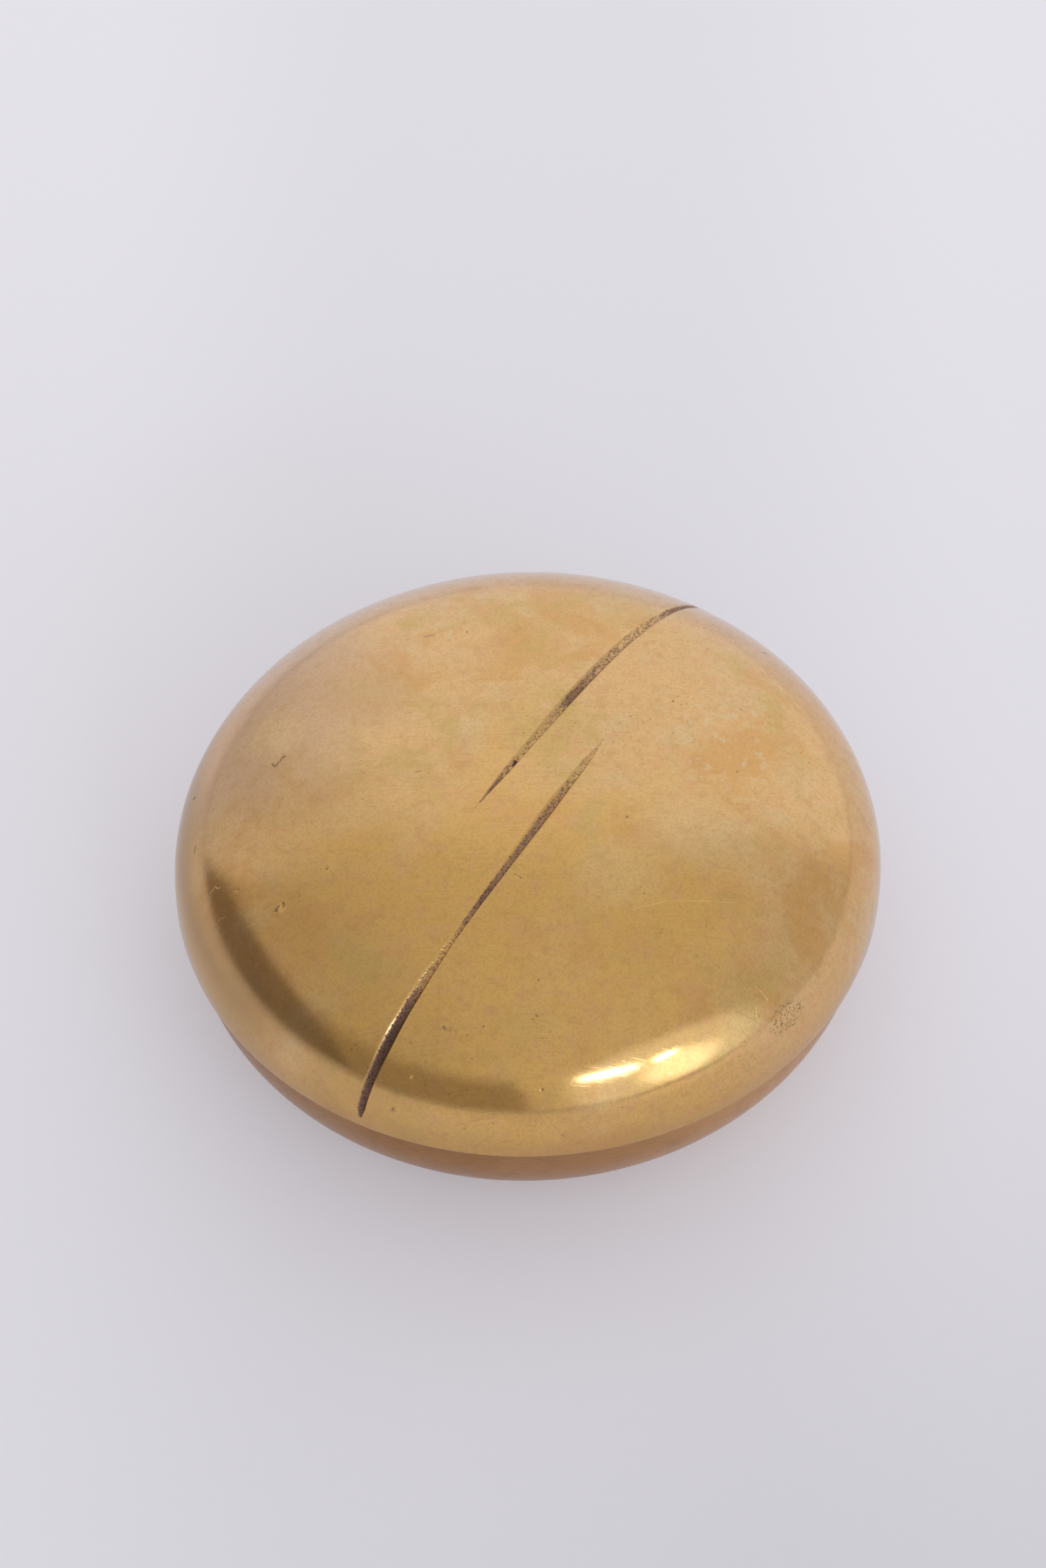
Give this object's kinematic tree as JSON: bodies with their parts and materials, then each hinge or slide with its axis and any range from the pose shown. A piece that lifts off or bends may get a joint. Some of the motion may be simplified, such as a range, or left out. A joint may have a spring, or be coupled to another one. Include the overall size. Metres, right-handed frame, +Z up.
{
  "type": "brass box",
  "caption": "Round pebble-shaped keepsake box in cast brass: a domed lift-off lid with tapered incised grooves sits on a shallow dish with a locating collar and felt pads.",
  "frame": {"origin": "on the table, under the middle of the box", "axes": "+Z up, along which the lid lifts; -Y is the side that faces the viewer in the picture, +X is to that viewer's right"},
  "size_m": [0.13, 0.13, 0.05],
  "materials": {
    "lid_brass": "hand-polished, aged, with a mottled patina and fine scratches; dark matted grooves; cast skin inside",
    "base_brass": "satin, aged; cast skin inside",
    "collar_brass": "drawn strip, satin",
    "foot_felt": "pressed wool felt",
    "lining_felt": "pressed wool felt"
  },
  "bodies": {
    "base": {"base_shell": "base_brass", "locating_collar": "collar_brass", "base_felt": "foot_felt", "base_lining": "lining_felt"},
    "lid": {"lid_shell": "lid_brass"}
  },
  "joints": [
    {"name": "lid_lift", "type": "slide", "parent": "base", "child": "lid", "axis": [0, 0, 1], "range_m": [0, 0.06]}
  ]
}
